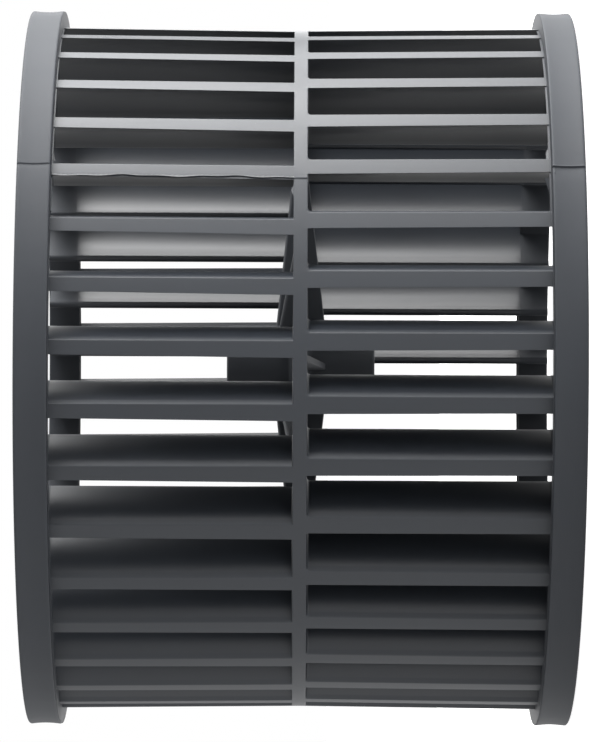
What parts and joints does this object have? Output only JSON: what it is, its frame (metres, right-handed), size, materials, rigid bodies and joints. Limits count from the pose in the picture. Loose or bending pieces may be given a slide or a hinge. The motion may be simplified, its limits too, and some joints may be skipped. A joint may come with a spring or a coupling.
{
  "type": "blower wheel",
  "caption": "Double-inlet centrifugal blower wheel with forward-curved blades, end bands, a centre web with gusset ribs and a plain hub, moulded in one piece.",
  "frame": {"origin": "centre of the wheel, on its axis and in the middle plane of the web", "axes": "+Z along the wheel's axis; seen from +Z the wheel turns clockwise in use"},
  "size_m": [0.1, 0.1, 0.0754],
  "materials": {
    "moulded_plastic": "satin moulded"
  },
  "bodies": {
    "root": {"blower_wheel": "moulded_plastic"}
  },
  "joints": []
}
